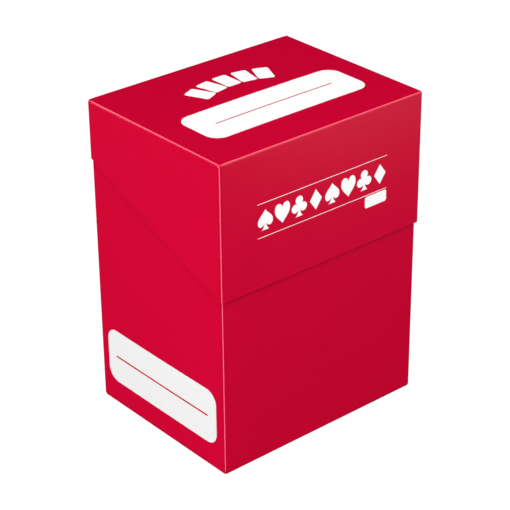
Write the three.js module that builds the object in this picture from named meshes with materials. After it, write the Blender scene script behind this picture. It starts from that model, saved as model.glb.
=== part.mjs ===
// A flip-top deck box for trading cards, folded from creased polypropylene sheet.
// The body is a four-sided sleeve with a tucked bottom. The lid is a cap that turns on a
// living hinge along the top of the back wall. A loose divider stands inside.
//
// Millimetres. +Z is up, the front faces -Y, and the origin is the middle of the base.
import * as THREE from "three";

// ---- Driving dimensions ----
const bodyWidth = 74; // outside of the left wall to outside of the right wall
const bodyDepth = 58.3; // outside of the front wall to outside of the back wall
const caseHeight = 98.8; // floor to the outside of the lid's top
const sheet = 0.6; // thickness of the sheet
const foldRadius = 0.9; // outside radius of every crease
const weldGap = 0.02; // between two layers that lie on each other
const lidClearance = 0.05; // between the lid's flaps and the walls they slide over
const topClearance = 0.5; // between the walls' upper edges and the lid's top
const frontFlapDrop = 41.8; // from the lid's top to the lower edge of its front flap
const backFlapDrop = 18.4; // the same for the side flaps, at their back edges
const flapInset = 0.6; // the side flaps stop this far in front of the back wall's outside
const creaseRelief = 1.6; // the lid's side creases stop this far in front of it
const hingeWeb = 0.25; // thickness left in the living hinge
const hingeInset = 1.2; // the hinge stops this far inside the body's sides
const tabWidth = 12; // the tab that closes the sleeve, inside the back wall
const tabTaper = 4; // how far the tab's ends slant
const tuckHeight = 14; // the bottom's tuck flap, up the inside of the back wall
const tuckCorner = 6;
const dustFlapLength = 26;
const dustFlapRise = 1.3; // the flap climbs over the bottom panel within this distance of its crease
const dustFlapInset = 0.3; // from the creases in front of it and behind it
const bottomInset = 2.5; // the bottom panel stops this far inside the body's sides
const seamInset = 0.5; // the back wall's free edge stops this far inside the right wall
const dividerWidth = 71;
const dividerHeight = 93;
const dividerCorner = 3;
const dividerClearance = 0.1; // under the divider, and behind it
const ink = 0.06; // thickness of a printed layer

const foldSteps = 4; // half the number of flats round one crease
const cornerSteps = 5;

// Printed white fields, each with a rounded outline and a ruled line left bare.
const topField = { width: 58.2, height: 18.1, radius: 4.4, ruleLength: 43, ruleWidth: 0.38 };
const topFieldMiddle = 20.4; // behind the body's front wall
const sideField = { width: 51.1, height: 17.9, radius: 4.2, ruleLength: 43.5, ruleWidth: 0.42 };
const sideFieldMiddle = 17; // above the floor

// Printed front: two rules with a row of card suits between them and a blank tag below.
const printWidth = 48.4;
const printShift = -0.4; // the print's middle, to the left of the lid's
const ruleWidth = 0.48;
const upperRule = 82.9; // above the floor
const lowerRule = 72.65;
const pipCount = 8;
const pipHeight = 6.2;
const pipSpan = 43; // between the middles of the first pip and the last
const tag = { width: 8.4, height: 3.6, radius: 0.7 };

// Printed top: a spread of blank cards behind the field.
const spread = { cards: 5, step: 12, inner: 25, length: 8, width: 5, radius: 0.8 };
const spreadMiddle = 41.7; // behind the body's front wall

// ---- Places that follow from them ----
const lidOffset = sheet + lidClearance; // the lid stands this far outside the walls
const halfBody = bodyWidth / 2;
const halfLid = halfBody + lidOffset;
const backY = (bodyDepth + lidOffset + ink) / 2; // outside of the back wall
const frontY = backY - bodyDepth; // outside of the front wall
const lidFrontY = frontY - lidOffset;
const lidUnderside = caseHeight - sheet;
const wallTop = lidUnderside - topClearance;
const seamY = backY - sheet - weldGap; // the tab's outer face
const tuckY = seamY - sheet - weldGap; // the tuck flap's outer face
const dustZ = sheet + weldGap; // underside of the dust flaps
const flapFoot = caseHeight - frontFlapDrop; // lower edge of the lid's front flap

const red = { color: 0xcb0532, roughness: 0.5, metalness: 0 };
const white = { color: 0xf6f6f4, roughness: 0.6, metalness: 0 };

const deckBox = new THREE.Group();
const body = new THREE.Group();
const lid = new THREE.Group();
const contents = new THREE.Group();
deckBox.add(body, lid, contents);

// ---- Making solids ----

// The three ways a flat outline (u, v) is turned into a solid of some thickness.
const faces = {
  x: new THREE.Matrix4().makeBasis(
    new THREE.Vector3(0, 1, 0), new THREE.Vector3(0, 0, 1), new THREE.Vector3(1, 0, 0)),
  y: new THREE.Matrix4().makeBasis(
    new THREE.Vector3(1, 0, 0), new THREE.Vector3(0, 0, 1), new THREE.Vector3(0, -1, 0)),
  z: new THREE.Matrix4(),
};

// Extrudes an outline along an axis from one place to another, and adds it as a named mesh.
// The outline's (u, v) is (y, z) across x, (x, z) across y and (x, y) across z.
function addSolid(group, name, finish, outline, axis, from, to) {
  const geometry = new THREE.ExtrudeGeometry(outline, {
    depth: to - from,
    curveSegments: outline.userData?.steps ?? foldSteps,
    bevelEnabled: false,
  });
  geometry.applyMatrix4(faces[axis]);
  const mesh = new THREE.Mesh(geometry, new THREE.MeshStandardMaterial(finish));
  mesh.position[axis] = axis === "y" ? to : from;
  mesh.name = name;
  group.add(mesh);
  return mesh;
}

function polygon(points) {
  return new THREE.Shape(points.map(([u, v]) => new THREE.Vector2(u, v)));
}

function rectangle(u0, u1, v0, v1) {
  return polygon([[u0, v0], [u1, v0], [u1, v1], [u0, v1]]);
}

// A rectangle with rounded corners about a middle, drawn anticlockwise.
function roundedRectangle(u, v, width, height, radius) {
  const shape = new THREE.Shape();
  const middles = [[1, -1], [1, 1], [-1, 1], [-1, -1]];
  middles.forEach(([su, sv], i) => {
    const cu = u + su * (width / 2 - radius);
    const cv = v + sv * (height / 2 - radius);
    const start = (i - 1) * Math.PI / 2;
    shape.absarc(cu, cv, radius, start, start + Math.PI / 2, false);
  });
  shape.closePath();
  return shape;
}

// A crease's section: a quarter ring about (u, v), from the start angle in degrees.
function quarterRing(u, v, start, thickness = sheet) {
  const a = start * Math.PI / 180;
  const b = a + Math.PI / 2;
  const shape = new THREE.Shape();
  shape.absarc(u, v, foldRadius, a, b, false);
  shape.absarc(u, v, foldRadius - thickness, b, a, true);
  shape.closePath();
  return shape;
}

// ---- The body ----

function addWalls() {
  const flatX = halfBody - foldRadius;
  addSolid(body, "front_wall", red,
    rectangle(-flatX, flatX, foldRadius, wallTop), "y", frontY, frontY + sheet);
  addSolid(body, "back_wall", red,
    rectangle(-flatX, halfBody - seamInset, 0, caseHeight - foldRadius), "y", backY - sheet, backY);
  addSolid(body, "left_wall", red,
    rectangle(frontY + foldRadius, backY - foldRadius, foldRadius, wallTop), "x", -halfBody, -halfBody + sheet);
  addSolid(body, "right_wall", red,
    rectangle(frontY + foldRadius, seamY - foldRadius, foldRadius, wallTop), "x", halfBody - sheet, halfBody);
}

function addCornerFolds() {
  const corners = [
    ["front_left_corner_fold", -1, frontY + foldRadius, 180],
    ["front_right_corner_fold", 1, frontY + foldRadius, 270],
    ["back_left_corner_fold", -1, backY - foldRadius, 90],
    ["back_right_corner_fold", 1, seamY - foldRadius, 0],
  ];
  for (const [name, side, y, start] of corners) {
    const section = quarterRing(side * (halfBody - foldRadius), y, start);
    addSolid(body, name, red, section, "z", foldRadius, wallTop);
  }
}

// The tab that closes the sleeve: it carries on from the back right corner, behind the tuck flap.
function addSeamTab() {
  const outer = halfBody - foldRadius;
  const inner = outer - tabWidth;
  const outline = polygon([
    [outer, foldRadius], [outer, wallTop],
    [inner, wallTop - tabTaper], [inner, foldRadius + tabTaper],
  ]);
  addSolid(body, "seam_tab", red, outline, "y", seamY - sheet, seamY);
}

function addBottom() {
  const flatX = halfBody - foldRadius;
  const front = frontY + foldRadius;
  const back = tuckY - foldRadius;
  const panelX = halfBody - bottomInset;
  addSolid(body, "bottom_panel", red, rectangle(-panelX, panelX, front, back), "z", 0, sheet);
  addSolid(body, "bottom_front_fold", red,
    quarterRing(front, foldRadius, 180), "x", -flatX, flatX);

  addSolid(body, "bottom_back_fold", red,
    quarterRing(back, foldRadius, 270), "x", -panelX, panelX);
  const tuck = polygon([
    [-panelX, foldRadius], [panelX, foldRadius], [panelX, tuckHeight - tuckCorner],
    [panelX - tuckCorner, tuckHeight], [tuckCorner - panelX, tuckHeight],
    [-panelX, tuckHeight - tuckCorner],
  ]);
  addSolid(body, "bottom_tuck_flap", red, tuck, "y", tuckY - sheet, tuckY);

  // A dust flap's section, climbing from its crease onto the bottom panel.
  const climb = [
    [0, 0], [dustFlapRise, dustZ], [dustFlapLength, dustZ],
    [dustFlapLength, dustZ + sheet], [dustFlapRise, dustZ + sheet], [0, sheet],
  ];
  const sides = [["left", -1, 180, backY - foldRadius], ["right", 1, 270, seamY - foldRadius]];
  for (const [name, side, start, foldEnd] of sides) {
    const section = polygon(climb.map(([across, z]) => [side * (flatX - across), z]));
    addSolid(body, name + "_dust_flap", red, section, "y",
      front + dustFlapInset, back - dustFlapInset);
    addSolid(body, name + "_dust_flap_fold", red,
      quarterRing(side * flatX, foldRadius, start), "y", front, foldEnd);
  }
}

// ---- The lid ----

function addLidPanels() {
  const flatX = halfLid - foldRadius;
  const front = lidFrontY + foldRadius;
  const shoulder = caseHeight - foldRadius;
  addSolid(lid, "lid_top", red,
    rectangle(-flatX, flatX, front, backY - foldRadius), "z", lidUnderside, caseHeight);
  addSolid(lid, "lid_front_flap", red,
    rectangle(-flatX, flatX, flapFoot, shoulder), "y", lidFrontY, lidFrontY + sheet);

  // The side flaps' lower edges climb in a straight line from the front to the back.
  const flapBack = backY - flapInset;
  const relief = backY - creaseRelief;
  const outline = polygon([
    [front, flapFoot], [flapBack, caseHeight - backFlapDrop],
    [flapBack, shoulder - foldRadius], [relief, shoulder], [front, shoulder],
  ]);
  addSolid(lid, "lid_left_flap", red, outline, "x", -halfLid, -halfLid + sheet);
  addSolid(lid, "lid_right_flap", red, outline, "x", halfLid - sheet, halfLid);
}

function addLidFolds() {
  const flatX = halfLid - foldRadius;
  const front = lidFrontY + foldRadius;
  const shoulder = caseHeight - foldRadius;
  addSolid(lid, "lid_front_fold", red, quarterRing(front, shoulder, 90), "x", -flatX, flatX);
  for (const [name, side, top, corner] of [["left", -1, 90, 180], ["right", 1, 0, 270]]) {
    addSolid(lid, `lid_${name}_fold`, red,
      quarterRing(side * flatX, shoulder, top), "y", front, backY - creaseRelief);
    addSolid(lid, `lid_${name}_corner_fold`, red,
      quarterRing(side * flatX, front, corner), "z", flapFoot, shoulder);
  }
}

// The living hinge: the crease along the top of the back wall, pressed thin.
function addHinge() {
  const section = quarterRing(backY - foldRadius, caseHeight - foldRadius, 0, hingeWeb);
  const reach = halfBody - hingeInset;
  addSolid(lid, "lid_hinge_strip", red, section, "x", -reach, reach);
}

// ---- The print ----

// A white field with a ruled line left bare along its middle.
function writingField(u, v, field) {
  const shape = roundedRectangle(u, v, field.width, field.height, field.radius);
  const du = field.ruleLength / 2;
  const dv = field.ruleWidth / 2;
  const line = [[u - du, v - dv], [u - du, v + dv], [u + du, v + dv], [u + du, v - dv]];
  shape.holes.push(new THREE.Path(line.map((p) => new THREE.Vector2(...p))));
  shape.userData = { steps: cornerSteps };
  return shape;
}

function addWritingFields() {
  addSolid(lid, "top_writing_field", white,
    writingField(0, frontY + topFieldMiddle, topField), "z", caseHeight, caseHeight + ink);
  addSolid(body, "side_writing_field", white,
    writingField((frontY + backY) / 2, sideFieldMiddle, sideField), "x", -halfBody - ink, -halfBody);
}

// A heart of height h about (u, v), point down; turned over it is a spade's leaf.
function heart(shape, u, v, h, up) {
  const s = h * up;
  shape.moveTo(u, v - s * 0.5);
  shape.bezierCurveTo(u + h * 0.1, v - s * 0.34, u + h * 0.44, v - s * 0.12, u + h * 0.44, v + s * 0.18);
  shape.bezierCurveTo(u + h * 0.44, v + s * 0.58, u + h * 0.06, v + s * 0.58, u, v + s * 0.26);
  shape.bezierCurveTo(u - h * 0.06, v + s * 0.58, u - h * 0.44, v + s * 0.58, u - h * 0.44, v + s * 0.18);
  shape.bezierCurveTo(u - h * 0.44, v - s * 0.12, u - h * 0.1, v - s * 0.34, u, v - s * 0.5);
  return shape;
}

function diamond(u, v, h) {
  return polygon([[u, v - h * 0.5], [u + h * 0.36, v], [u, v + h * 0.5], [u - h * 0.36, v]]);
}

// The stem under a spade or a club: it spreads to a foot.
function stemPoints(u, v, h) {
  return {
    footRight: [u + h * 0.22, v - h * 0.5],
    footLeft: [u - h * 0.22, v - h * 0.5],
    neckRight: [u + h * 0.045, v - h * 0.16],
    neckLeft: [u - h * 0.045, v - h * 0.16],
  };
}

function spade(u, v, h) {
  const stem = stemPoints(u, v, h);
  const shape = new THREE.Shape();
  shape.moveTo(...stem.footLeft);
  shape.lineTo(...stem.footRight);
  shape.quadraticCurveTo(u + h * 0.07, v - h * 0.42, ...stem.neckRight);
  shape.bezierCurveTo(u + h * 0.14, v - h * 0.4, u + h * 0.43, v - h * 0.38, u + h * 0.43, v - h * 0.09);
  shape.bezierCurveTo(u + h * 0.43, v + h * 0.16, u + h * 0.1, v + h * 0.3, u, v + h * 0.5);
  shape.bezierCurveTo(u - h * 0.1, v + h * 0.3, u - h * 0.43, v + h * 0.16, u - h * 0.43, v - h * 0.09);
  shape.bezierCurveTo(u - h * 0.43, v - h * 0.38, u - h * 0.14, v - h * 0.4, ...stem.neckLeft);
  shape.quadraticCurveTo(u - h * 0.07, v - h * 0.42, ...stem.footLeft);
  return shape;
}

// Three leaves and a stem, in one outline that runs round the outside.
function club(u, v, h) {
  const leaf = h * 0.215;
  const stem = stemPoints(u, v, h);
  const topV = v + h * 0.285;
  const sideV = v - h * 0.075;
  const sideU = h * 0.235;
  const degrees = Math.PI / 180;
  const shape = new THREE.Shape();
  shape.moveTo(...stem.footLeft);
  shape.lineTo(...stem.footRight);
  shape.quadraticCurveTo(u + h * 0.07, v - h * 0.42, ...stem.neckRight);
  shape.absarc(u + sideU, sideV, leaf, -156 * degrees, 130 * degrees, false);
  shape.absarc(u, topV, leaf, -50 * degrees, 230 * degrees, false);
  shape.absarc(u - sideU, sideV, leaf, 50 * degrees, 336 * degrees, false);
  shape.lineTo(...stem.neckLeft);
  shape.quadraticCurveTo(u - h * 0.07, v - h * 0.42, ...stem.footLeft);
  return shape;
}

function addFrontPrint() {
  const from = lidFrontY - ink;
  const half = printWidth / 2;
  const rules = [["front_print_upper_rule", upperRule], ["front_print_lower_rule", lowerRule]];
  for (const [name, z] of rules) {
    const line = rectangle(printShift - half, printShift + half, z - ruleWidth / 2, z + ruleWidth / 2);
    addSolid(lid, name, white, line, "y", from, lidFrontY);
  }

  const rowZ = (upperRule + lowerRule) / 2;
  const suits = [
    (u) => spade(u, rowZ, pipHeight),
    (u) => heart(new THREE.Shape(), u, rowZ, pipHeight, 1),
    (u) => club(u, rowZ, pipHeight),
    (u) => diamond(u, rowZ, pipHeight),
  ];
  for (let i = 0; i < pipCount; i++) {
    const x = printShift + pipSpan * (i / (pipCount - 1) - 0.5);
    addSolid(lid, `front_print_suit_${i + 1}`, white, suits[i % suits.length](x), "y", from, lidFrontY);
  }

  const tagX = printShift + half - tag.width / 2;
  const tagZ = lowerRule - ruleWidth - tag.height / 2;
  addSolid(lid, "front_print_tag", white,
    roundedRectangle(tagX, tagZ, tag.width, tag.height, tag.radius), "y", from, lidFrontY);
}

// The spread's cards stand on arcs about one point, so each is the first one turned.
function addTopPrint() {
  const middle = spread.inner + spread.length / 2;
  const card = roundedRectangle(0, middle, spread.width, spread.length, spread.radius);
  const spreadCentre = frontY + spreadMiddle - middle;
  for (let i = 0; i < spread.cards; i++) {
    const angle = ((spread.cards - 1) / 2 - i) * spread.step * Math.PI / 180;
    const mesh = addSolid(lid, `top_print_card_${i + 1}`, white, card, "z", caseHeight, caseHeight + ink);
    mesh.position.y = spreadCentre;
    mesh.rotation.z = angle;
  }
}

// ---- Inside ----

function addDivider() {
  const foot = dustZ + sheet + dividerClearance;
  const back = tuckY - sheet - dividerClearance;
  const outline = roundedRectangle(
    0, foot + dividerHeight / 2, dividerWidth, dividerHeight, dividerCorner);
  addSolid(contents, "card_divider", red, outline, "y", back - sheet, back);
}

addWalls();
addCornerFolds();
addSeamTab();
addBottom();
addLidPanels();
addLidFolds();
addHinge();
addWritingFields();
addFrontPrint();
addTopPrint();
addDivider();

export default deckBox;
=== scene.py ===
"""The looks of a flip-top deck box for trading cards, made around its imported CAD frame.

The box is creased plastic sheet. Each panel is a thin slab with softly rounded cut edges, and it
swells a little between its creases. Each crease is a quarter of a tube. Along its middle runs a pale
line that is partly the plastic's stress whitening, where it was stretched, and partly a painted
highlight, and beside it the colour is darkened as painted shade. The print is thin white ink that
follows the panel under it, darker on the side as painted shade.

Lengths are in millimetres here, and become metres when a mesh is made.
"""

import math

import bpy
import numpy as np
from mathutils import Matrix, Vector
from mathutils.geometry import delaunay_2d_cdt


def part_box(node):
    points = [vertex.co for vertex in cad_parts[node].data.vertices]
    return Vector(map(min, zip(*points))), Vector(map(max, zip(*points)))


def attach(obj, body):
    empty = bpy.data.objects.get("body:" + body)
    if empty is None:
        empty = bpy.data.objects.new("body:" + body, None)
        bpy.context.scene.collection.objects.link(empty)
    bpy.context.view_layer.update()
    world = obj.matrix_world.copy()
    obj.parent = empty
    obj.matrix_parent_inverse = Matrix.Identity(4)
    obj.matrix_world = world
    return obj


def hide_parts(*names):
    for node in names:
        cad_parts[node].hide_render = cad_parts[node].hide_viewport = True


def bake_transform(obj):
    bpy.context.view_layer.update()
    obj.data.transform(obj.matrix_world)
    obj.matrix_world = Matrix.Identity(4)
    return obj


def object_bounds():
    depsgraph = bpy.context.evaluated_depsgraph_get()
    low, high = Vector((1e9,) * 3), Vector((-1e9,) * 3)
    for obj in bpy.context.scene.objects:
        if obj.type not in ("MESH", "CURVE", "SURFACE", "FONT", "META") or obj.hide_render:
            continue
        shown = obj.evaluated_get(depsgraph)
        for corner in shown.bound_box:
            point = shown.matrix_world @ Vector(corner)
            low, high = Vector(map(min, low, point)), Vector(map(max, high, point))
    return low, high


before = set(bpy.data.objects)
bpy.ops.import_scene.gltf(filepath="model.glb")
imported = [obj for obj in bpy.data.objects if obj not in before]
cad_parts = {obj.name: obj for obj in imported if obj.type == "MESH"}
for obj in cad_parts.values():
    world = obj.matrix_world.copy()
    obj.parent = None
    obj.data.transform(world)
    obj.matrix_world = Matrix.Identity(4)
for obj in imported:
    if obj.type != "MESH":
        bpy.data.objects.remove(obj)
cad_low, cad_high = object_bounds()

MM = 0.001
X, Y, Z = 0, 1, 2


def node_box(name):
    """Lowest and highest corner of a CAD node, in millimetres."""
    low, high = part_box(name)
    return np.array(low) / MM, np.array(high) / MM


# ---- Places taken from the frame ----

front_wall = node_box("front_wall")
left_wall = node_box("left_wall")
right_wall = node_box("right_wall")
back_wall = node_box("back_wall")
seam_tab = node_box("seam_tab")
bottom_panel = node_box("bottom_panel")
tuck_flap = node_box("bottom_tuck_flap")
left_dust_flap = node_box("left_dust_flap")
right_dust_flap = node_box("right_dust_flap")
left_dust_fold = node_box("left_dust_flap_fold")
right_dust_fold = node_box("right_dust_flap_fold")
lid_top = node_box("lid_top")
lid_front = node_box("lid_front_flap")
lid_left = node_box("lid_left_flap")
lid_right = node_box("lid_right_flap")
lid_side_fold = node_box("lid_left_fold")
hinge_strip = node_box("lid_hinge_strip")
divider = node_box("card_divider")

SHEET = lid_top[1][Z] - lid_top[0][Z]
FOLD = lid_side_fold[1][Z] - lid_side_fold[0][Z]  # outside radius of every crease
FLAT_X = front_wall[1][X]  # half the front wall, between its creases
FRONT_CREASE = left_wall[0][Y]  # where the body's flat sides begin
BACK_CREASE = left_wall[1][Y]
WALL_FOOT = front_wall[0][Z]
WALL_TOP = front_wall[1][Z]
LID_FLAT_X = lid_top[1][X]
LID_FRONT_CREASE = lid_top[0][Y]
SHOULDER = lid_front[1][Z]  # where the lid's flaps meet the creases round its top
CASE_TOP = lid_top[1][Z]
FLAP_FOOT = lid_front[0][Z]

# ---- Sizes of the finer shape ----

RIM = 0.12  # rounding of a cut edge
RIM_STEPS = 3
FOLD_STEPS = 24
CAP_STEPS = 12
CELL = 3.0  # a panel's mesh, away from its creases
NEAR_CREASE = (0.25, 0.5, 0.8, 1.2)  # closer lines beside a crease
NEAR_CREASE_END = (0.1, 0.2, 0.3, 0.45, 0.7, 1.0, 1.4, 2.0)  # and across it, near its ends
SLOPE_STEP = 0.02  # for slopes found as a difference
HINGE_WEB = 0.25  # thickness left in the living hinge
HINGE_WEB_SHARE = 0.55  # of the way from its middle to its sides
FRONT_SWELL = 0.2
SIDE_SWELL = 0.25
TOP_SWELL = 0.3
BACK_SWELL = 0.12
PALE_WIDTH = 0.06  # spread of the pale line along a crease, which is partly stress whitening and partly painted highlight
PALE_FADE = 0.3  # how far the pale line takes to end
PALE_FOOT = 1.2  # a vertical pale line ends this far above the floor
SHADE_PLACE = 0.42  # distance of a crease's darker sides, which are painted shade, from its middle
SHADE_WIDTH = 0.18
INK_TOP = 0.02  # the ink stands this far off the sheet
INK_ROOT = 0.04  # and reaches this far into it

BACK_FLAP_DROP = 18.4  # from the lid's top to the lower edge of its side flaps, at their backs
RELIEF_TRIM = 1.0  # the lid's side creases run this much closer to the hinge than their nodes
HINGE_TRIM = 0.6  # and the hinge runs this much further out at each end than its node
TAB_TAPER = 4.0
TUCK_CORNER = 6.0
DUST_FLAP_RISE = 1.3
DIVIDER_CORNER = 3.0

# Each white field: its corners, the bare line ruled in it, and how far its ink stops inside
# its node at the two sides nearest to the box's front left corner.
TOP_FIELD = {"radius": 4.4, "rule": 43.0, "rule_width": 0.55, "trim": 0.45}
SIDE_FIELD = {"radius": 4.2, "rule": 43.5, "rule_width": 0.62, "trim": 0}
FIELD_STEPS = 16  # round each corner of a field
PRINTED_RULE = 0.15  # width of the two rules on the front flap
TAG_RADIUS = 0.7
CARD_RADIUS = 0.8
CARD_STEP = 12.0  # degrees from one card of the printed spread to the next


# ---- How a sheet lies in space ----

def hump(value, low, high):
    """0 at both ends and 1 halfway, along a sine."""
    share = np.clip((value - low) / (high - low), 0, 1)
    return np.sin(np.pi * share)


def front_swell(x, z):
    return FRONT_SWELL * hump(x, -FLAT_X, FLAT_X) * hump(z, WALL_FOOT, SHOULDER)


def side_swell(y, z):
    return SIDE_SWELL * hump(y, FRONT_CREASE, BACK_CREASE) * hump(z, WALL_FOOT, SHOULDER)


def top_swell(x, y):
    return TOP_SWELL * hump(x, -LID_FLAT_X, LID_FLAT_X) * hump(y, LID_FRONT_CREASE, lid_top[1][Y])


def back_swell(x, z):
    return BACK_SWELL * hump(x, -FLAT_X, back_wall[1][X]) * hump(z, back_wall[0][Z], back_wall[1][Z])


def no_swell(u, v):
    return np.zeros_like(u)


def flat(axis, level, facing, swell=no_swell):
    """A panel across an axis. Its outside is at level and faces along the axis or against it.
    (u, v) is (y, z) across x, (x, z) across y and (x, y) across z."""
    u_axis, v_axis = [i for i in range(3) if i != axis]

    def place(u, v, depth):
        point = np.zeros(u.shape + (3,))
        point[..., u_axis] = u
        point[..., v_axis] = v
        point[..., axis] = level + facing * (swell(u, v) - depth)
        step = SLOPE_STEP
        normal = np.zeros_like(point)
        normal[..., u_axis] = -(swell(u + step, v) - swell(u - step, v)) / (2 * step)
        normal[..., v_axis] = -(swell(u, v + step) - swell(u, v - step)) / (2 * step)
        normal[..., axis] = facing
        return point, unit(normal)

    return place


def crease(axis, centre, start, low, high):
    """A crease along an axis, from low to high. u is the angle past start and v the place along
    it. Beyond low and high it closes into an eighth of a ball. centre is in the other two axes."""
    a_axis, b_axis = [i for i in range(3) if i != axis]
    begin = math.radians(start)

    def place(u, v, depth):
        tilt = (np.maximum(v - high, 0) - np.maximum(low - v, 0)) / FOLD
        normal = np.zeros(u.shape + (3,))
        normal[..., a_axis] = np.cos(tilt) * np.cos(begin + u)
        normal[..., b_axis] = np.cos(tilt) * np.sin(begin + u)
        normal[..., axis] = np.sin(tilt)
        middle = np.zeros_like(normal)
        middle[..., a_axis] = centre[0]
        middle[..., b_axis] = centre[1]
        middle[..., axis] = np.clip(v, low, high)
        return middle + normal * (FOLD - depth)[..., None], normal

    return place


def dust_flap(side):
    """A dust flap climbs from its crease onto the bottom panel. u is the way in from the crease."""
    rise_to = left_dust_flap[1][Z] - SHEET

    def height(u):
        share = np.clip(u / DUST_FLAP_RISE, 0, 1)
        return rise_to * share * share * (3 - 2 * share)

    def place(u, v, depth):
        point = np.stack([side * (FLAT_X - u), v, height(u) + depth], -1)
        slope = (height(u + SLOPE_STEP) - height(u - SLOPE_STEP)) / (2 * SLOPE_STEP)
        normal = np.stack([-side * slope, np.zeros_like(u), -np.ones_like(u)], -1)
        return point, unit(normal)

    return place


def unit(vectors):
    return vectors / np.maximum(np.linalg.norm(vectors, axis=-1, keepdims=True), 1e-12)


# ---- Lines of a sheet's mesh ----

def spaced(low, high, fine_low=False, fine_high=False):
    """Lines from low to high, about a cell apart, and closer beside an edge that is a crease.
    low and high may be arrays, and then so is each line."""
    first = [low + d for d in NEAR_CREASE] if fine_low else []
    last = [high - d for d in reversed(NEAR_CREASE)] if fine_high else []
    begin = first[-1] if fine_low else low
    end = last[0] if fine_high else high
    cells = max(2, math.ceil(float(np.max(end - begin)) / CELL))
    middle = [begin + (end - begin) * i / cells for i in range(cells + 1)]
    lines = ([low] + first[:-1] if fine_low else []) + middle + (last[1:] + [high] if fine_high else [])
    return np.stack([np.asarray(line, float) for line in lines], -1)


def across(us, low, high, fine_low=False, fine_high=False):
    """For each u, the lines in v from low(u) to high(u); low and high may be plain numbers."""
    lows = low(us) if callable(low) else np.full(us.shape, low)
    highs = high(us) if callable(high) else np.full(us.shape, high)
    return spaced(lows, highs, fine_low, fine_high)


def quarter_turn():
    return np.linspace(0, math.pi / 2, FOLD_STEPS + 1)


def along_crease(low, high, cap_low=False, cap_high=False):
    """Lines along a crease: short steps where the pale line ends, and round an end cap."""
    ends = np.array(NEAR_CREASE_END)
    cells = max(2, math.ceil((high - low - 2 * ends[-1]) / CELL))
    parts = [[low], low + ends[:-1], np.linspace(low + ends[-1], high - ends[-1], cells + 1),
             high - ends[-2::-1], [high]]
    cap = FOLD * math.pi / 2 * np.arange(1, CAP_STEPS + 1) / CAP_STEPS
    if cap_low:
        parts.insert(0, low - cap[::-1])
    if cap_high:
        parts.append(high + cap)
    return np.concatenate(parts)


# ---- A sheet's mesh ----

class Mesh:
    """Points, faces and the surface normal at each corner of each face, all in millimetres."""

    def __init__(self):
        self.points = []
        self.marks = []
        self.faces = []
        self.normals = []

    def add_points(self, points, marks=None):
        """Returns the new points' indices, in the same layout as the points."""
        flat_points = points.reshape(-1, 3)
        start = len(self.points)
        self.points.extend(flat_points)
        zeros = np.zeros((len(flat_points), 2))
        self.marks.extend(zeros if marks is None else marks.reshape(-1, 2))
        return np.arange(start, start + len(flat_points)).reshape(points.shape[:-1])

    def add_face(self, corners, normals):
        self.faces.append(tuple(int(c) for c in corners))
        self.normals.append([tuple(n) for n in normals])

    def add_grid(self, index, normals, turned):
        """Quads over a grid of point indices; turned reverses them and their normals."""
        for i in range(index.shape[0] - 1):
            for j in range(index.shape[1] - 1):
                ring = [(i, j), (i + 1, j), (i + 1, j + 1), (i, j + 1)]
                ring = ring[::-1] if turned else ring
                sign = -1 if turned else 1
                self.add_face([index[r] for r in ring], [sign * normals[r] for r in ring])

    def flip(self):
        self.faces = [face[::-1] for face in self.faces]
        self.normals = [corners[::-1] for corners in self.normals]

    def weld(self):
        """Merges points that lie together, and drops the faces that this closes up."""
        keys, kept = {}, []
        remap = []
        for i, point in enumerate(self.points):
            key = tuple(np.round(point, 5))
            if key not in keys:
                keys[key] = len(kept)
                kept.append(i)
            remap.append(keys[key])
        faces, normals = [], []
        for face, corners in zip(self.faces, self.normals):
            ring = [(remap[c], n) for c, n in zip(face, corners)]
            ring = [r for k, r in enumerate(ring) if r[0] != ring[k - 1][0]]
            if len(ring) > 2:
                faces.append(tuple(r[0] for r in ring))
                normals.append([r[1] for r in ring])
        self.points = [self.points[i] for i in kept]
        self.marks = [self.marks[i] for i in kept]
        self.faces, self.normals = faces, normals


def perimeter(nu, nv):
    """The grid's outline, one point after another, with the side that each step runs along."""
    ring = [(i, 0, "b") for i in range(nu - 1)]
    ring += [(nu - 1, j, "r") for j in range(nv - 1)]
    ring += [(i, nv - 1, "t") for i in range(nu - 1, 0, -1)]
    ring += [(0, j, "l") for j in range(nv - 1, 0, -1)]
    return ring


OUTWARD = {"l": (-1, 0), "r": (1, 0), "b": (0, -1), "t": (0, 1)}


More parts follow.
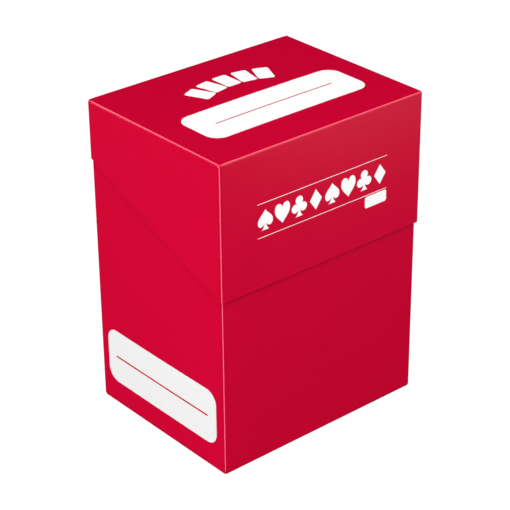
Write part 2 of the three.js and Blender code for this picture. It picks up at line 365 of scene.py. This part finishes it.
def slab(place, us, vs, cut="", thickness=SHEET, mark=None):
    """A closed thin slab over the lines us and vs, where vs has a row of lines for each u.
    The sides named in cut (l and r are u's ends, b and t are v's) are rounded cut edges. The
    other sides are square and meet a neighbour. thickness may be an array, one value for each u."""
    us, vs = us.copy(), vs.copy()
    us[0] += RIM * ("l" in cut)
    us[-1] -= RIM * ("r" in cut)
    vs[:, 0] += RIM * ("b" in cut)
    vs[:, -1] -= RIM * ("t" in cut)
    nu, nv = vs.shape
    u = np.repeat(us[:, None], nv, axis=1)
    thick = np.broadcast_to(np.reshape(thickness, (-1, 1)), u.shape)

    mesh = Mesh()
    outer_points, outer_normals = place(u, vs, np.zeros_like(u))
    outer = mesh.add_points(outer_points, mark(u, vs) if mark else None)
    inner_points, _ = place(u, vs, thick)
    inner = mesh.add_points(inner_points)
    mesh.add_grid(outer, outer_normals, False)
    mesh.add_grid(inner, outer_normals, True)

    ring = perimeter(nu, nv)
    at = tuple(np.array([r[k] for r in ring]) for k in (0, 1))
    push = np.zeros((len(ring), 2))
    for side, (du, dv) in OUTWARD.items():
        edge = {"l": at[0] == 0, "r": at[0] == nu - 1, "b": at[1] == 0, "t": at[1] == nv - 1}[side]
        if side in cut:
            push[edge] += (du, dv)

    turns = np.linspace(0, math.pi / 2, RIM_STEPS + 1)
    rim = [(RIM * math.sin(t), RIM * (1 - math.cos(t)), math.cos(t), math.sin(t)) for t in turns]
    halves = [(out, down, False, c, s) for out, down, c, s in rim]
    halves += [(out, down, True, -c, s) for out, down, c, s in reversed(rim)]
    layers = []
    for k, (out, down, from_inside, _, _) in enumerate(halves):
        if k in (0, len(halves) - 1):
            layers.append((outer if k == 0 else inner)[at])
            continue
        depth = thick[at] - down if from_inside else np.full(len(ring), down)
        points, _ = place(u[at] + push[:, 0] * out, vs[at] + push[:, 1] * out, depth)
        layers.append(mesh.add_points(points))

    base, surface = place(u[at], vs[at], np.zeros(len(ring)))
    side_normals = {}
    for side, (du, dv) in OUTWARD.items():
        beyond, _ = place(u[at] + du * SLOPE_STEP, vs[at] + dv * SLOPE_STEP, np.zeros(len(ring)))
        side_normals[side] = unit(beyond - base)
    for k, (_, _, side) in enumerate(ring):
        pair = (k, (k + 1) % len(ring))
        sideways = side_normals[side]
        for layer in range(len(layers) - 1):
            corners = [layers[layer][pair[0]], layers[layer + 1][pair[0]],
                       layers[layer + 1][pair[1]], layers[layer][pair[1]]]
            if side in cut:
                steps = [halves[layer], halves[layer + 1]]
                n = [[surface[p] * s[3] + sideways[p] * s[4] for p in pair] for s in steps]
                normals = [n[0][0], n[1][0], n[1][1], n[0][1]]
            else:
                normals = [sideways[pair[0]], sideways[pair[0]], sideways[pair[1]], sideways[pair[1]]]
            mesh.add_face(corners, normals)

    mesh.weld()
    i, j = nu // 2, nv // 2
    du = outer_points[i, j] - outer_points[i - 1, j]
    dv = outer_points[i, j] - outer_points[i, j - 1]
    if np.dot(np.cross(du, dv), outer_normals[i, j]) < 0:
        mesh.flip()
    return mesh


def make_piece(name, mesh, body, material, node, smooth_normals=True):
    """Turns a Mesh into a Blender object that stands for a CAD node and rides on its body."""
    data = bpy.data.meshes.new(name)
    data.from_pydata((np.array(mesh.points) * MM).tolist(), [], mesh.faces)
    marks = np.array(mesh.marks)
    for column, attribute in enumerate(("pale", "shade")):
        layer = data.attributes.new(attribute, "FLOAT", "POINT")
        layer.data.foreach_set("value", marks[:, column].astype(np.float32))
    data.polygons.foreach_set("use_smooth", [True] * len(data.polygons))
    if smooth_normals:
        data.normals_split_custom_set([n for corners in mesh.normals for n in corners])
    else:
        data.set_sharp_from_angle(angle=math.radians(40))
    data.materials.append(material)
    piece = bpy.data.objects.new(name, data)
    bpy.context.scene.collection.objects.link(piece)
    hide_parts(node)
    if body:
        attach(piece, body)
    return piece


# ---- Marks along the creases ----

def ramp(value, low, high):
    share = np.clip((value - low) / (high - low), 0, 1)
    return share * share * (3 - 2 * share)


def bell(distance, width):
    return np.exp(-0.5 * (distance / width) ** 2)


def crease_mark(low, high, arc=None):
    """How pale and how dark a crease is: the pale middle is partly stress whitening and partly painted
    highlight, and the dark sides are painted shade. The pale line fades at low and at high. arc, where
    the crease has an end cap, gives the distance from the pale line there."""

    def mark(u, v):
        distance = np.abs(u - math.pi / 4) * FOLD
        if arc:
            distance = arc(u, v, distance)
        shown = ramp(v, low, low + PALE_FADE) * ramp(-v, -high, -high + PALE_FADE)
        pale = bell(distance, PALE_WIDTH) * shown
        shade = bell(distance - SHADE_PLACE, SHADE_WIDTH)
        return np.stack([pale, shade], -1)

    return mark


def turning_arc(place, top, plane):
    """Past top, the pale line leaves the vertical crease and turns over the ball-shaped corner
    into the crease of the side. It runs where the corner meets a plane through its middle."""
    normal = unit(np.array(plane, float))

    def distance_to(u, v, distance):
        _, direction = place(u, v, np.zeros_like(u))
        off_plane = np.abs(np.arcsin(np.clip(direction @ normal, -1, 1))) * FOLD
        return np.where(v > top, off_plane, distance)

    return distance_to


# ---- Materials ----

def new_material(name):
    material = bpy.data.materials.new(name)
    material.use_nodes = True
    nodes = material.node_tree.nodes
    return material, nodes, material.node_tree.links, nodes["Principled BSDF"]


def add_node(nodes, kind, **inputs):
    """A new node, with each input that is named set to its value; spaces are written as _."""
    node = nodes.new(kind)
    for key, value in inputs.items():
        node.inputs[key.replace("_", " ")].default_value = value
    return node


def noise(nodes, links, scale, detail=3.0, rough=0.5):
    """Noise over the object's own coordinates, in which scale is features per metre."""
    place = add_node(nodes, "ShaderNodeTexCoord")
    node = add_node(nodes, "ShaderNodeTexNoise", Scale=scale, Detail=detail, Roughness=rough)
    links.new(place.outputs["Object"], node.inputs["Vector"])
    return node.outputs["Fac"]


def ranged(nodes, links, value, low, high, source_low=0.3, source_high=0.7):
    node = add_node(nodes, "ShaderNodeMapRange", From_Min=source_low, From_Max=source_high,
                    To_Min=low, To_Max=high)
    links.new(value, node.inputs["Value"])
    return node.outputs["Result"]


def math_node(nodes, links, operation, first, second):
    node = nodes.new("ShaderNodeMath")
    node.operation = operation
    for socket, value in zip(node.inputs, (first, second)):
        if isinstance(value, (int, float)):
            socket.default_value = value
        else:
            links.new(value, socket)
    return node.outputs[0]


def mix_colour(nodes, links, factor, first, second, blend="MIX"):
    node = nodes.new("ShaderNodeMix")
    node.data_type = "RGBA"
    node.blend_type = blend
    links.new(factor, node.inputs["Factor"])
    for socket, value in ((node.inputs[6], first), (node.inputs[7], second)):
        if isinstance(value, tuple):
            socket.default_value = value
        else:
            links.new(value, socket)
    return node.outputs[2]


SHEET_RED = (0.56, 0.0003, 0.029, 1)
DEEP_RED_MOTTLE_AND_CREASE_SHADE = (0.44, 0.0002, 0.020, 1)  # the mottle's deeper red, and painted shade beside a crease
# Partly stress whitening and partly a painted highlight, along a crease's middle.
CREASE_WHITENING_AND_HIGHLIGHT = (0.98, 0.22, 0.34, 1)


def red_sheet():
    """Red polypropylene: a faint mottle, a fine satin grain, creases with a pale middle that is partly
    stress whitening and partly painted highlight, and painted shade beside them.
    """
    material, nodes, links, shader = new_material("creased_red_polypropylene")
    pale = nodes.new("ShaderNodeAttribute")
    pale.attribute_name = "pale"
    shade = nodes.new("ShaderNodeAttribute")
    shade.attribute_name = "shade"

    mottle = ranged(nodes, links, noise(nodes, links, 60, 1.0), 0.0, 0.08)
    base = mix_colour(nodes, links, mottle, SHEET_RED, DEEP_RED_MOTTLE_AND_CREASE_SHADE)
    unevenness = ranged(nodes, links, noise(nodes, links, 700), 0.75, 1.0)
    # Painted shade: darker red beside each crease, where the shade mark is high.
    dark = math_node(nodes, links, "MULTIPLY", shade.outputs["Fac"], 0.8)
    base = mix_colour(nodes, links, dark, base, DEEP_RED_MOTTLE_AND_CREASE_SHADE)
    # The pale middle of each crease: partly stress whitening, partly a painted highlight.
    line = math_node(nodes, links, "MULTIPLY", pale.outputs["Fac"], unevenness)
    base = mix_colour(nodes, links, line, base, CREASE_WHITENING_AND_HIGHLIGHT)
    links.new(base, shader.inputs["Base Color"])

    rough = ranged(nodes, links, noise(nodes, links, 120), 0.29, 0.31)
    links.new(rough, shader.inputs["Roughness"])
    shader.inputs["Specular IOR Level"].default_value = 0.2
    grain = add_node(nodes, "ShaderNodeBump", Strength=0.08, Distance=0.00003)
    links.new(noise(nodes, links, 6500, 2.0), grain.inputs["Height"])
    links.new(grain.outputs["Normal"], shader.inputs["Normal"])
    return material


def white_ink(name, brightness):
    """Screen-printed white: matt, and a little thinner in places."""
    material, nodes, links, shader = new_material(name)
    full = (brightness, brightness, brightness * 0.995, 1)
    thin = (brightness * 0.97, brightness * 0.96, brightness * 0.96, 1)
    cover = ranged(nodes, links, noise(nodes, links, 400), 0.0, 0.35)
    links.new(mix_colour(nodes, links, cover, full, thin), shader.inputs["Base Color"])
    rough = ranged(nodes, links, noise(nodes, links, 300), 0.52, 0.62)
    links.new(rough, shader.inputs["Roughness"])
    shader.inputs["Specular IOR Level"].default_value = 0.3
    grain = add_node(nodes, "ShaderNodeBump", Strength=0.1, Distance=0.00002)
    links.new(noise(nodes, links, 9000, 2.0), grain.inputs["Height"])
    links.new(grain.outputs["Normal"], shader.inputs["Normal"])
    return material


RED = red_sheet()
WHITE_TOP = white_ink("white_ink_top", 0.97)
# The same white ink as on the top, darker on the side: painted shade.
WHITE_INK_SIDE_SHADED = white_ink("white_ink_side_shaded", 0.77)


def sheet_piece(node, body, *slab_arguments, **slab_options):
    mesh = slab(*slab_arguments, **slab_options)
    return make_piece(node + "_sheet", mesh, body, RED, node)


# ---- The body ----

def build_walls():
    xs = spaced(-FLAT_X, FLAT_X, True, True)
    front = flat(Y, front_wall[0][Y], -1, front_swell)
    sheet_piece("front_wall", "case", front, xs, across(xs, WALL_FOOT, WALL_TOP, True), cut="t")

    for name, box, axis_side in (("left_wall", left_wall, -1), ("right_wall", right_wall, 1)):
        ys = spaced(box[0][Y], box[1][Y], True, True)
        level = box[0][X] if axis_side < 0 else box[1][X]
        wall = flat(X, level, axis_side, side_swell)
        sheet_piece(name, "case", wall, ys, across(ys, WALL_FOOT, WALL_TOP, True), cut="t")

    xs = spaced(back_wall[0][X], back_wall[1][X], True)
    back = flat(Y, back_wall[1][Y], 1, back_swell)
    zs = across(xs, back_wall[0][Z], back_wall[1][Z], False, True)
    sheet_piece("back_wall", "case", back, xs, zs, cut="rb")


def build_corner_folds():
    angles = quarter_turn()
    for side, start in ((-1, 180), (1, 270)):
        name = "front_left_corner_fold" if side < 0 else "front_right_corner_fold"
        fold = crease(Z, (side * FLAT_X, FRONT_CREASE), start, WALL_FOOT, WALL_TOP)
        zs = along_crease(WALL_FOOT, WALL_TOP, cap_low=True)
        sheet_piece(name, "case", fold, angles, np.tile(zs, (len(angles), 1)), cut="t",
                    mark=crease_mark(PALE_FOOT, WALL_TOP + PALE_FADE))
    for side, start, y in ((-1, 90, BACK_CREASE), (1, 0, right_wall[1][Y])):
        name = "back_left_corner_fold" if side < 0 else "back_right_corner_fold"
        fold = crease(Z, (side * FLAT_X, y), start, WALL_FOOT, WALL_TOP)
        zs = along_crease(WALL_FOOT, WALL_TOP)
        sheet_piece(name, "case", fold, angles, np.tile(zs, (len(angles), 1)), cut="tb",
                    mark=crease_mark(PALE_FOOT, WALL_TOP + PALE_FADE))


def build_seam_tab():
    low, high = seam_tab
    xs = spaced(low[X], high[X], False, True)

    def slant(x):
        return TAB_TAPER * (high[X] - x) / (high[X] - low[X])

    zs = across(xs, lambda x: low[Z] + slant(x), lambda x: high[Z] - slant(x))
    sheet_piece("seam_tab", "case", flat(Y, high[Y], 1), xs, zs, cut="ltb")


def build_bottom():
    low, high = bottom_panel
    xs = spaced(low[X], high[X])
    ys = across(xs, low[Y], high[Y], True, True)
    sheet_piece("bottom_panel", "case", flat(Z, low[Z], -1), xs, ys, cut="lr")

    angles = quarter_turn()
    folds = (
        ("bottom_front_fold", X, (low[Y], WALL_FOOT), 180, -FLAT_X, FLAT_X, ""),
        ("bottom_back_fold", X, (high[Y], WALL_FOOT), 270, low[X], high[X], "bt"),
        ("left_dust_flap_fold", Y, (-FLAT_X, WALL_FOOT), 180, FRONT_CREASE, left_dust_fold[1][Y], "t"),
        ("right_dust_flap_fold", Y, (FLAT_X, WALL_FOOT), 270, FRONT_CREASE, right_dust_fold[1][Y], "t"),
    )
    for name, axis, centre, start, begin, end, cut in folds:
        lines = np.tile(along_crease(begin, end), (len(angles), 1))
        sheet_piece(name, "case", crease(axis, centre, start, begin, end), angles, lines, cut=cut,
                    mark=crease_mark(begin + PALE_FADE, end - PALE_FADE))

    low, high = tuck_flap
    xs = np.unique(np.concatenate([spaced(low[X], low[X] + TUCK_CORNER),
                                   spaced(low[X] + TUCK_CORNER, high[X] - TUCK_CORNER),
                                   spaced(high[X] - TUCK_CORNER, high[X])]))

    def tuck_top(x):
        return high[Z] - np.maximum(0, TUCK_CORNER - (high[X] - np.abs(x)))

    sheet_piece("bottom_tuck_flap", "case", flat(Y, high[Y], 1), xs,
                across(xs, low[Z], tuck_top, True), cut="lrt")

    for side, name, (low, high) in ((-1, "left", left_dust_flap), (1, "right", right_dust_flap)):
        reach = high[X] - low[X]
        us = np.concatenate([np.linspace(0, DUST_FLAP_RISE, 9),
                             spaced(DUST_FLAP_RISE, reach)[1:]])
        ys = across(us, low[Y], high[Y])
        sheet_piece(name + "_dust_flap", "case", dust_flap(side), us, ys, cut="rbt")


# ---- The lid ----

def build_lid_panels():
    xs = spaced(-LID_FLAT_X, LID_FLAT_X, True, True)
    top = flat(Z, CASE_TOP, 1, top_swell)
    sheet_piece("lid_top", "lid", top, xs, across(xs, LID_FRONT_CREASE, lid_top[1][Y], True, True))
    front = flat(Y, lid_front[0][Y], -1, front_swell)
    zs = across(xs, FLAP_FOOT, SHOULDER, False, True)
    sheet_piece("lid_front_flap", "lid", front, xs, zs, cut="b")

    back_foot = CASE_TOP - BACK_FLAP_DROP
    flap_end = lid_left[1][Y]
    slope = (back_foot - FLAP_FOOT) / (flap_end - LID_FRONT_CREASE)

    def foot(y):
        return FLAP_FOOT + slope * (y - LID_FRONT_CREASE)

    ys = spaced(LID_FRONT_CREASE, flap_end, True)
    for side, node, box in ((-1, "lid_left_flap", lid_left), (1, "lid_right_flap", lid_right)):
        level = box[0][X] if side < 0 else box[1][X]
        flap = flat(X, level, side, side_swell)
        sheet_piece(node, "lid", flap, ys, across(ys, foot, SHOULDER, False, True), cut="rb")


def build_lid_folds():
    angles = quarter_turn()

    def fold(node, axis, centre, start, low, high, cut, mark):
        place = crease(axis, centre, start, low, high)
        lines = np.tile(along_crease(low, high), (len(angles), 1))
        sheet_piece(node, "lid", place, angles, lines, cut=cut, mark=mark)

    fold("lid_front_fold", X, (LID_FRONT_CREASE, SHOULDER), 90, -LID_FLAT_X, LID_FLAT_X, "",
         crease_mark(-LID_FLAT_X, LID_FLAT_X))
    side_end = lid_side_fold[1][Y] + RELIEF_TRIM
    for side, name, start in ((-1, "left", 90), (1, "right", 0)):
        centre = (side * LID_FLAT_X, SHOULDER)
        fold(f"lid_{name}_fold", Y, centre, start, LID_FRONT_CREASE, side_end, "t",
             crease_mark(LID_FRONT_CREASE - 2 * PALE_FADE, side_end - RELIEF_TRIM))
        corner_start = 180 if side < 0 else 270
        place = crease(Z, (side * LID_FLAT_X, LID_FRONT_CREASE), corner_start, FLAP_FOOT, SHOULDER)
        arc = turning_arc(place, SHOULDER, (-side, -1, 1))
        past_cap = SHOULDER + 2 * FOLD
        zs = along_crease(FLAP_FOOT, SHOULDER, cap_high=True)
        sheet_piece(f"lid_{name}_corner_fold", "lid", place, angles, np.tile(zs, (len(angles), 1)),
                    cut="b", mark=crease_mark(FLAP_FOOT - PALE_FADE, past_cap, arc))


def build_hinge():
    """The living hinge: full thickness at both ends, pressed thin between them. It curves about the
    corner where the back wall's outside meets the lid's top."""
    low, high = hinge_strip[0] - (HINGE_TRIM, 0, 0), hinge_strip[1] + (HINGE_TRIM, 0, 0)
    angles = quarter_turn()
    away = np.abs(angles - math.pi / 4) / (math.pi / 4)
    thickness = HINGE_WEB + (SHEET - HINGE_WEB) * ramp(away, HINGE_WEB_SHARE, 1.0)
    place = crease(X, (low[Y], low[Z]), 0, low[X], high[X])
    lines = np.tile(along_crease(low[X], high[X]), (len(angles), 1))
    mesh = slab(place, angles, lines, cut="bt", thickness=thickness,
                mark=crease_mark(low[X] - PALE_FADE, high[X] + PALE_FADE))
    piece = make_piece("lid_hinge_strip_sheet", mesh, None, RED, "lid_hinge_strip",
                       smooth_normals=False)
    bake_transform(piece)


# ---- The print ----

def rounded_rectangle(width, height, radius, steps=10):
    """Points round a rectangle with rounded corners about the origin, anticlockwise."""
    points = []
    for k, (su, sv) in enumerate(((1, 1), (-1, 1), (-1, -1), (1, -1))):
        for i in range(steps + 1):
            angle = (k + i / steps) * math.pi / 2
            points.append((su * (width / 2 - radius) + radius * math.cos(angle),
                           sv * (height / 2 - radius) + radius * math.sin(angle)))
    return np.array(points)


def ruled_line(length, width):
    return rounded_rectangle(length, width, width / 4, 3)


def curve(*controls, steps=10):
    """Points along a Bezier curve, without its first."""
    points = []
    for i in range(1, steps + 1):
        layer = [np.array(c, float) for c in controls]
        while len(layer) > 1:
            layer = [a + (b - a) * i / steps for a, b in zip(layer, layer[1:])]
        points.append(layer[0])
    return points


def mirrored(right_half):
    """A closed outline from its right half, which runs from the bottom middle to the top middle."""
    right = np.array(right_half)
    left = right[::-1] * (-1, 1)
    points = np.concatenate([right, left])
    keep = np.linalg.norm(points - np.roll(points, 1, 0), axis=1) > 1e-4
    return points[keep]


def heart():
    half = [(0, -0.5)]
    half += curve((0, -0.5), (0.1, -0.34), (0.44, -0.12), (0.44, 0.18))
    half += curve((0.44, 0.18), (0.44, 0.58), (0.06, 0.58), (0, 0.26))
    return mirrored(half)


def diamond():
    return mirrored([(0, -0.5), (0.36, 0), (0, 0.5)])


def stem():
    """Half the foot under a spade or a club, from the bottom middle to its neck."""
    return [(0, -0.5), (0.22, -0.5)] + curve((0.22, -0.5), (0.07, -0.42), (0.045, -0.16))


def spade():
    half = stem()
    half += curve((0.045, -0.16), (0.14, -0.4), (0.43, -0.38), (0.43, -0.09))
    half += curve((0.43, -0.09), (0.43, 0.16), (0.1, 0.3), (0, 0.5))
    return mirrored(half)


def club():
    leaf = 0.215
    half = stem()
    for (u, v), start, end in (((0.235, -0.075), -156, 130), ((0, 0.285), -50, 90)):
        turns = np.radians(np.linspace(start, end, 25))
        half += [(u + leaf * math.cos(t), v + leaf * math.sin(t)) for t in turns]
    return mirrored(half)


def refined(outline):
    """The same outline with no step longer than a cell, so that it can follow a swelling panel."""
    points = []
    for a, b in zip(outline, np.roll(outline, -1, 0)):
        pieces = max(1, math.ceil(np.linalg.norm(b - a) / CELL))
        points += [a + (b - a) * k / pieces for k in range(pieces)]
    return np.array(points)


def inside(points, outline):
    """Which of the points are inside an outline, by counting its edges to the right of each."""
    result = np.zeros(len(points), bool)
    for (u0, v0), (u1, v1) in zip(outline, np.roll(outline, -1, 0)):
        spans = (v0 > points[:, 1]) != (v1 > points[:, 1])
        crossing = u0 + (points[:, 1] - v0) * (u1 - u0) / (v1 - v0 if v1 != v0 else 1)
        result ^= spans & (points[:, 0] < crossing)
    return result


def ink_mesh(place, outline, slot=None):
    """A thin layer of ink on a panel, inside an outline and outside a bare slot in it."""
    outline = refined(outline)
    slot = None if slot is None else refined(slot)
    loops = [outline] if slot is None else [outline, slot]
    low, high = outline.min(0), outline.max(0)
    lines = [np.arange(low[k], high[k], CELL) for k in range(2)]
    grid = np.stack(np.meshgrid(*lines), -1).reshape(-1, 2) + CELL / 3
    grid = grid[inside(grid, outline)]
    near = np.concatenate(loops)
    room = 0.2 * CELL  # kept clear of points beside an edge
    clear = np.linalg.norm(grid[:, None] - near[None], axis=2).min(1) > room
    if slot is not None:
        clear &= np.abs(grid[:, 1] - slot[:, 1].mean()) > room
    points = np.concatenate(loops + [grid[clear]])
    edges, start = [], 0
    for loop in loops:
        count = len(loop)
        edges += [(start + i, start + (i + 1) % count) for i in range(count)]
        start += count
    flat_points, _, faces, *_ = delaunay_2d_cdt([Vector(p) for p in points], edges, [], 0, 1e-6)
    flat_points = np.array([tuple(p) for p in flat_points])
    centres = np.array([flat_points[list(f)].mean(0) for f in faces])
    kept = inside(centres, outline)
    if slot is not None:
        kept &= ~inside(centres, slot)
    faces = [f for f, keep in zip(faces, kept) if keep]

    mesh = Mesh()
    u, v = flat_points[:, 0], flat_points[:, 1]
    top_points, normals = place(u, v, np.full(len(u), -INK_TOP))
    root_points, _ = place(u, v, np.full(len(u), INK_ROOT))
    top = mesh.add_points(top_points)
    root = mesh.add_points(root_points)
    a, b, c = (top_points[i] for i in faces[0][:3])
    if np.dot(np.cross(b - a, c - a), normals[faces[0][0]]) < 0:
        faces = [face[::-1] for face in faces]
    directed = set()
    for face in faces:
        mesh.add_face([top[i] for i in face], [normals[i] for i in face])
        mesh.add_face([root[i] for i in face[::-1]], [-normals[i] for i in face[::-1]])
        directed |= {(face[k - 1], face[k]) for k in range(len(face))}
    for a, b in directed:
        if (b, a) not in directed:
            outward = unit(np.cross(top_points[b] - top_points[a], normals[a]))
            mesh.add_face([top[b], top[a], root[a], root[b]], [outward] * 4)
    mesh.weld()
    return mesh


def ink_piece(node, body, place, outline, material, slot=None):
    mesh = ink_mesh(place, outline, slot)
    return make_piece(node + "_ink", mesh, body, material, node)


def in_plane(box, axis):
    """The middle and the size of a box across an axis."""
    keep = [i for i in range(3) if i != axis]
    return ((box[0] + box[1]) / 2)[keep], (box[1] - box[0])[keep]


def build_writing_fields():
    top = flat(Z, CASE_TOP, 1, top_swell)
    side = flat(X, left_wall[0][X], -1, side_swell)
    fields = (
        ("top_writing_field", "lid", Z, top, TOP_FIELD, WHITE_TOP),
        ("side_writing_field", "case", X, side, SIDE_FIELD, WHITE_INK_SIDE_SHADED),
    )
    for node, body, axis, place, field, material in fields:
        middle, size = in_plane(node_box(node), axis)
        trim = field["trim"]
        width, height = size - trim
        outline = middle + trim / 2 + rounded_rectangle(width, height, field["radius"], FIELD_STEPS)
        slot = middle + ruled_line(field["rule"], field["rule_width"])
        ink_piece(node, body, place, outline, material, slot)


def build_front_print():
    place = flat(Y, lid_front[0][Y], -1, front_swell)
    for node in ("front_print_upper_rule", "front_print_lower_rule"):
        middle, size = in_plane(node_box(node), Y)
        ink_piece(node, "lid", place, middle + ruled_line(size[0], PRINTED_RULE), WHITE_TOP)

    row, size = in_plane(node_box("front_print_suit_1"), Y)
    height = size[1]
    suits = (spade, heart, club, diamond)
    for k in range(8):
        node = f"front_print_suit_{k + 1}"
        middle, _ = in_plane(node_box(node), Y)
        outline = np.array((middle[0], row[1])) + height * suits[k % len(suits)]()
        ink_piece(node, "lid", place, outline, WHITE_TOP)

    middle, size = in_plane(node_box("front_print_tag"), Y)
    tag = middle + rounded_rectangle(size[0], size[1], TAG_RADIUS)
    ink_piece("front_print_tag", "lid", place, tag, WHITE_TOP)


def build_top_print():
    place = flat(Z, CASE_TOP, 1, top_swell)
    cards = 5
    _, size = in_plane(node_box(f"top_print_card_{cards // 2 + 1}"), Z)
    card = rounded_rectangle(size[0], size[1], CARD_RADIUS)
    for k in range(cards):
        node = f"top_print_card_{k + 1}"
        middle, _ = in_plane(node_box(node), Z)
        turn = math.radians((cards // 2 - k) * CARD_STEP)
        turned = card @ np.array([[math.cos(turn), math.sin(turn)], [-math.sin(turn), math.cos(turn)]])
        ink_piece(node, "lid", place, middle + turned, WHITE_TOP)


# ---- Inside ----

def build_divider():
    low, high = divider
    turns = np.linspace(0, math.pi / 2, 9)
    ends = DIVIDER_CORNER * (1 - np.cos(turns))
    xs = np.concatenate([low[X] + ends, spaced(low[X] + DIVIDER_CORNER, high[X] - DIVIDER_CORNER)[1:-1],
                         high[X] - ends[::-1]])

    def corner(x):
        inwards = np.maximum(0, DIVIDER_CORNER - np.minimum(x - low[X], high[X] - x))
        return DIVIDER_CORNER - np.sqrt(np.maximum(0, DIVIDER_CORNER ** 2 - inwards ** 2))

    zs = across(xs, lambda x: low[Z] + corner(x), lambda x: high[Z] - corner(x))
    sheet_piece("card_divider", "divider", flat(Y, high[Y], 1), xs, zs, cut="lrbt")


# ---- Studio ----

CAMERA_AZIMUTH = -40.205  # degrees, from straight in front towards the box's left
CAMERA_ELEVATION = 28.081
CAMERA_ROLL = -0.554
CAMERA_DISTANCE = 540.05
CAMERA_LENS = 128.3  # on a sensor 36 mm wide
CAMERA_AIM = (-0.18, 0.69, -2.38)  # from the middle of the CAD box
DOME = 0.06  # brightness of the even light from all round
SOFTBOX_SIZE = 300
SOFTBOX_DISTANCE = 900
SOFTBOXES = {  # azimuth and elevation in degrees, and power in watts
    "left": (-75, 20, 3.7),
    "low_left": (-60, 5, 4.2),
    "front": (30, 15, 3.0),
    "high": (-25, 57, 3.7),
    "above": (-30, 78, 2.3),
    "back_left": (-150, 10, 2.0),
    "right": (95, 5, 3.0),
    "behind": (-170, 10, 3.0),
}
REFLECTOR = {"place": (215, -240, 1), "width": 200, "depth": 110, "power": 0.127}
FLOOR_HALF = 3000
FLOOR_DROP = 0.05  # the floor lies this far below the box
FLOOR_GLOW = 0.97


def direction(azimuth, elevation):
    a, e = math.radians(azimuth), math.radians(elevation)
    return Vector((math.sin(a) * math.cos(e), -math.cos(a) * math.cos(e), math.sin(e)))


def add_camera():
    data = bpy.data.cameras.new("camera")
    data.sensor_width = 36
    data.lens = CAMERA_LENS
    data.clip_start = 0.05
    data.clip_end = 10
    camera = bpy.data.objects.new("camera", data)
    bpy.context.scene.collection.objects.link(camera)
    back = direction(CAMERA_AZIMUTH, CAMERA_ELEVATION)
    right = Vector((0, 0, 1)).cross(back).normalized()
    up = back.cross(right)
    roll = math.radians(CAMERA_ROLL)
    across_view = right * math.cos(roll) + up * math.sin(roll)
    up_view = up * math.cos(roll) - right * math.sin(roll)
    aim = (cad_low + cad_high) / 2 + Vector(CAMERA_AIM) * MM
    turn = Matrix((across_view, up_view, back)).transposed().to_4x4()
    camera.matrix_world = Matrix.Translation(aim + back * CAMERA_DISTANCE * MM) @ turn
    bpy.context.scene.camera = camera


def add_softbox(name, azimuth, elevation, power):
    """A square light that faces the middle of the box."""
    data = bpy.data.lights.new(name, "AREA")
    data.size = SOFTBOX_SIZE * MM
    data.energy = power
    light = bpy.data.objects.new(name, data)
    bpy.context.scene.collection.objects.link(light)
    back = direction(azimuth, elevation)
    light.location = Vector((0, 0, CASE_TOP / 2 * MM)) + back * SOFTBOX_DISTANCE * MM
    light.rotation_mode = "QUATERNION"
    light.rotation_quaternion = back.to_track_quat("Z", "Y")
    light.visible_camera = False


def add_reflector():
    """A bright card that lies in front of the box, to its right. Only its reflection shows."""
    data = bpy.data.lights.new("reflector", "AREA")
    data.shape = "RECTANGLE"
    data.size = REFLECTOR["width"] * MM
    data.size_y = REFLECTOR["depth"] * MM
    data.energy = REFLECTOR["power"]
    card = bpy.data.objects.new("reflector", data)
    bpy.context.scene.collection.objects.link(card)
    card.location = Vector(REFLECTOR["place"]) * MM
    card.rotation_euler = (math.pi, 0, 0)
    card.visible_camera = False
    card.visible_diffuse = False


def add_world():
    """White to the camera. To the object it is a dim, even dome of light without a reflection."""
    world = bpy.data.worlds.new("studio")
    bpy.context.scene.world = world
    world.use_nodes = True
    world.cycles_visibility.glossy = False
    nodes, links = world.node_tree.nodes, world.node_tree.links
    background = nodes["Background"]
    rays = nodes.new("ShaderNodeLightPath")
    dim = (DOME, DOME, DOME, 1)
    seen = mix_colour(nodes, links, rays.outputs["Is Camera Ray"], dim, (1, 1, 1, 1))
    links.new(seen, background.inputs["Color"])


def add_floor():
    """A plain white floor, lit by its own glow so that it runs into the background."""
    material, nodes, links, shader = new_material("floor")
    shader.inputs["Base Color"].default_value = (0.1, 0.1, 0.1, 1)
    shader.inputs["Roughness"].default_value = 0.9
    shader.inputs["Specular IOR Level"].default_value = 0.0
    rays = nodes.new("ShaderNodeLightPath")
    white = (FLOOR_GLOW, FLOOR_GLOW, FLOOR_GLOW, 1)
    glow = mix_colour(nodes, links, rays.outputs["Is Camera Ray"], (0, 0, 0, 1), white)
    links.new(glow, shader.inputs["Emission Color"])
    shader.inputs["Emission Strength"].default_value = 1.0
    data = bpy.data.meshes.new("floor")
    corners = [Vector((x * FLOOR_HALF, y * FLOOR_HALF, -FLOOR_DROP)) * MM
               for x, y in ((-1, -1), (1, -1), (1, 1), (-1, 1))]
    data.from_pydata(corners, [], [(0, 1, 2, 3)])
    data.materials.append(material)
    floor = bpy.data.objects.new("floor", data)
    bpy.context.scene.collection.objects.link(floor)
    floor.visible_glossy = False


def add_studio():
    scene = bpy.context.scene
    scene.view_settings.view_transform = "Standard"
    add_world()
    add_floor()
    add_camera()
    for name, (azimuth, elevation, power) in SOFTBOXES.items():
        add_softbox(name, azimuth, elevation, power)
    add_reflector()


build_walls()
build_corner_folds()
build_seam_tab()
build_bottom()
build_lid_panels()
build_lid_folds()
build_hinge()
build_writing_fields()
build_front_print()
build_top_print()
build_divider()
add_studio()
